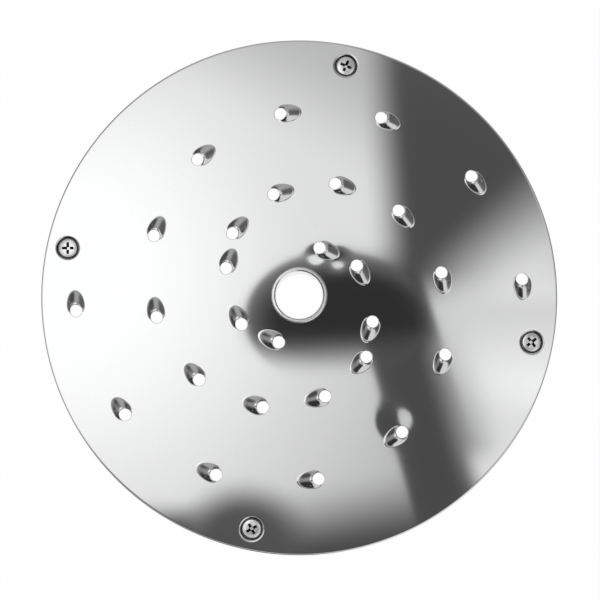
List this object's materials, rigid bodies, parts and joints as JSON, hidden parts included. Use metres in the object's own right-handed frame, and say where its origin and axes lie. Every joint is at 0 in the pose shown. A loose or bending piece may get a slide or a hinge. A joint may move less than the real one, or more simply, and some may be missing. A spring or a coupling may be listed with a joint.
{
  "type": "shredding disc",
  "caption": "Round shredding disc: a thin stainless plate with spiral rows of raised round teeth, screwed to a spoked alloy carrier whose bored hub slides on a drive shaft.",
  "frame": {"origin": "on the bore axis, in the plane that the rim and the hub rest on", "axes": "+Z along the bore axis, towards the teeth; +X and +Y each through a plate screw"},
  "size_m": [0.205, 0.205, 0.019],
  "materials": {
    "plate_steel": "polished stainless sheet, nearly a mirror",
    "carrier_alloy": "fine cast skin, turned bright at the hub",
    "screw_steel": "satin stainless"
  },
  "bodies": {
    "root": {"shredding_plate": "plate_steel", "carrier": "carrier_alloy", "plate_screws": "screw_steel"}
  },
  "joints": []
}
